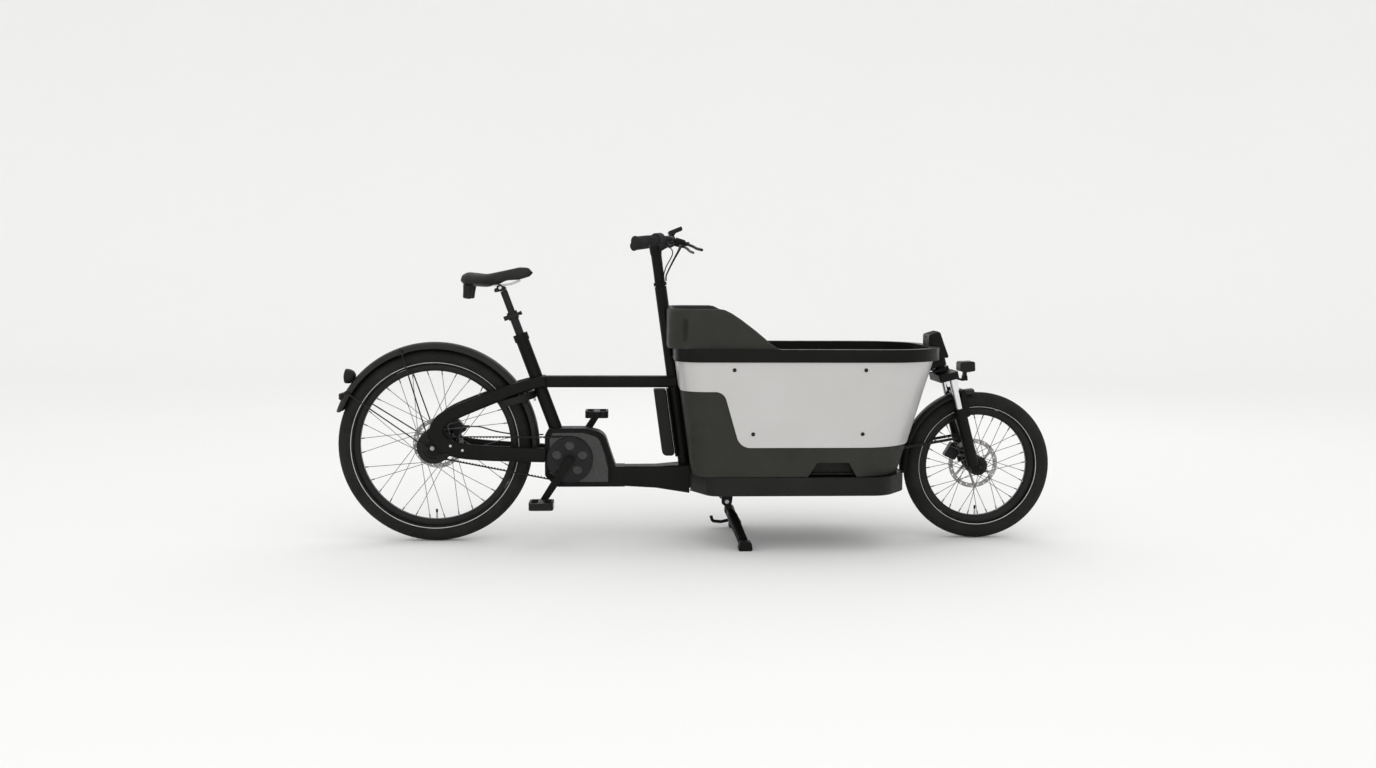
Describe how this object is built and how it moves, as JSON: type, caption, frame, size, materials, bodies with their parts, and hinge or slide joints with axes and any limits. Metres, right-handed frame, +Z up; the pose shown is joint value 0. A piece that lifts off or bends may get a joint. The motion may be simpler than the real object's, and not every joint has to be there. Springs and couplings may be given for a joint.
{
  "type": "cargo bicycle",
  "caption": "Front-loading electric cargo bicycle with a moulded tub, passenger bench, belt drive, cable steering and a two-leg stand.",
  "frame": {"origin": "on the ground under the middle of the bicycle's length and width", "axes": "+X forward along the longest extent, +Y to the rider's left, +Z up"},
  "size_m": [2.551, 0.6954, 1.1146],
  "materials": {
    "frame_black": "satin powder coat",
    "tyre_rubber": "matt rubber",
    "rim_black": "matt anodised",
    "spoke_steel": "drawn stainless",
    "hub_black": "matt",
    "belt_rubber": "matt",
    "steel": "brushed",
    "motor_black": "gloss",
    "tub_charcoal": "fine moulded grain",
    "panel_silver": "pale silver metallic",
    "plastic_black": "satin",
    "cushion_fabric": "woven",
    "mat_rubber": "ribbed",
    "saddle_cover": "matt grain",
    "grip_rubber": "fine ribs",
    "stanchion_chrome": "hard chrome",
    "lens_red": "red lens",
    "hose_black": "satin",
    "axle_alloy": "turned"
  },
  "bodies": {
    "frame": {"rear_stays": "frame_black", "rear_axle": "axle_alloy", "motor_bracket": "frame_black", "seat_tube": "frame_black", "steering_mast": "frame_black", "top_tube": "frame_black", "keel_tube": "frame_black", "motor_unit": "motor_black", "motor_covers": "motor_black", "front_head_tube": "frame_black", "box_subframe": "frame_black", "cargo_tub": "tub_charcoal", "side_panels": "panel_silver", "cargo_rim": "plastic_black", "base_pan": "plastic_black", "backrest_shell": "tub_charcoal", "passenger_bench": "tub_charcoal", "bench_cushions": "cushion_fabric", "floor_mat": "mat_rubber", "front_bumper": "plastic_black", "box_fasteners": "steel", "rear_fender": "plastic_black", "tail_light": "lens_red", "rear_caliper": "steel", "frame_cables": "hose_black", "ring_lock": "plastic_black", "drive_belt": "belt_rubber"},
    "rear_wheel": {"rear_tyre": "tyre_rubber", "rear_rim": "rim_black", "rear_spokes": "spoke_steel", "rear_hub": "hub_black"},
    "rear_drive": {"rear_pulley": "steel"},
    "cranks": {"crankset": "frame_black"},
    "right_pedal": {"pedal_right": "plastic_black"},
    "left_pedal": {"pedal_left": "plastic_black"},
    "battery": {"battery_pack": "plastic_black"},
    "lock_bolt": {"lock_shackle": "steel"},
    "outer_post": {"post_sleeve": "plastic_black"},
    "seat": {"seat_post": "hub_black", "saddle": "saddle_cover", "saddle_frame": "steel"},
    "clamp_lever": {"seat_lever": "steel"},
    "bars": {"steering_column": "frame_black", "handlebar": "frame_black", "grips": "grip_rubber", "display": "plastic_black", "bar_hoses": "hose_black"},
    "shifter": {"twist_shifter": "plastic_black"},
    "right_lever": {"brake_lever_right": "hub_black"},
    "left_lever": {"brake_lever_left": "hub_black"},
    "fork": {"fork_crown": "frame_black", "stanchions": "stanchion_chrome"},
    "fork_slider": {"fork_lowers": "frame_black", "front_fender": "plastic_black"},
    "lamp": {"headlight": "plastic_black"},
    "front_wheel": {"front_tyre": "tyre_rubber", "front_rim": "rim_black", "front_spokes": "spoke_steel", "front_hub": "hub_black"},
    "stand": {"kickstand": "frame_black"}
  },
  "joints": [
    {"name": "rear_wheel_spin", "type": "hinge", "parent": "frame", "child": "rear_wheel", "pos_m": [-0.92947, 0, 0.3415], "axis": [0, 1, 0], "continuous": true},
    {"name": "crank_spin", "type": "hinge", "parent": "frame", "child": "cranks", "pos_m": [-0.45647, 0, 0.294], "axis": [0, 1, 0], "continuous": true},
    {"name": "rear_pulley_spin", "type": "hinge", "parent": "frame", "child": "rear_drive", "pos_m": [-0.92947, 0, 0.3415], "axis": [0, 1, 0], "continuous": true},
    {"name": "right_pedal_spin", "type": "hinge", "parent": "cranks", "child": "right_pedal", "pos_m": [-0.54906, -0.148, 0.15143], "axis": [0, 1, 0], "continuous": true},
    {"name": "left_pedal_spin", "type": "hinge", "parent": "cranks", "child": "left_pedal", "pos_m": [-0.36388, 0.148, 0.43657], "axis": [0, 1, 0], "continuous": true},
    {"name": "battery_release", "type": "hinge", "parent": "frame", "child": "battery", "pos_m": [-0.0952, 0, 0.306], "axis": [0, -1, 0], "range_deg": [0, 18]},
    {"name": "ring_lock_close", "type": "hinge", "parent": "frame", "child": "lock_bolt", "pos_m": [-0.65077, 0, 0.5037], "axis": [-0.2756, 0, 0.9613], "range_deg": [0, 124]},
    {"name": "outer_post_slide", "type": "slide", "parent": "frame", "child": "outer_post", "axis": [-0.3486, 0, 0.9373], "range_m": [-0.04, 0.08]},
    {"name": "seat_post_slide", "type": "slide", "parent": "outer_post", "child": "seat", "axis": [-0.3486, 0, 0.9373], "range_m": [-0.05, 0.05]},
    {"name": "clamp_lever_open", "type": "hinge", "parent": "outer_post", "child": "clamp_lever", "pos_m": [-0.67936, -0.018, 0.79094], "axis": [0.3486, 0, -0.9373], "range_deg": [0, 150]},
    {"name": "bar_steer", "type": "hinge", "parent": "frame", "child": "bars", "pos_m": [-0.13547, 0, 0.905], "axis": [-0.1361, 0, 0.9907], "range_deg": [-55, 55]},
    {"name": "fork_steer", "type": "hinge", "parent": "frame", "child": "fork", "pos_m": [0.87653, 0, 0.6], "axis": [-0.2504, 0, 0.9681], "range_deg": [-55, 55]},
    {"name": "shifter_twist", "type": "hinge", "parent": "bars", "child": "shifter", "pos_m": [-0.15189, -0.23856, 1.06362], "axis": [-0.6138, -0.7854, -0.0792], "range_deg": [-45, 45]},
    {"name": "right_brake_lever_pull", "type": "hinge", "parent": "bars", "child": "right_lever", "pos_m": [-0.04947, -0.15, 1.051], "axis": [0, 0, -1], "range_deg": [0, 20], "stiffness_Nm_per_rad": 1.5, "springref_deg": -11.46},
    {"name": "left_brake_lever_pull", "type": "hinge", "parent": "bars", "child": "left_lever", "pos_m": [-0.04947, 0.15, 1.051], "axis": [0, 0, 1], "range_deg": [0, 20], "stiffness_Nm_per_rad": 1.5, "springref_deg": -11.46},
    {"name": "fork_travel", "type": "slide", "parent": "fork", "child": "fork_slider", "axis": [-0.2504, 0, 0.9681], "range_m": [0, 0.03], "stiffness_N_per_m": 12000, "springref_m": -0.03},
    {"name": "front_wheel_spin", "type": "hinge", "parent": "fork_slider", "child": "front_wheel", "pos_m": [1.01053, 0, 0.265], "axis": [0, 1, 0], "continuous": true},
    {"name": "headlight_tilt", "type": "hinge", "parent": "fork", "child": "lamp", "pos_m": [0.96203, 0, 0.586], "axis": [0, 1, 0], "range_deg": [-12, 12]},
    {"name": "kickstand_fold", "type": "hinge", "parent": "frame", "child": "stand", "pos_m": [0.10053, 0, 0.146], "axis": [0, 1, 0], "range_deg": [0, 88]}
  ],
  "couplings": [
    {"joint": "rear_pulley_spin", "follows": "crank_spin", "ratio": 2.3},
    {"joint": "fork_steer", "follows": "bar_steer", "ratio": 1}
  ]
}
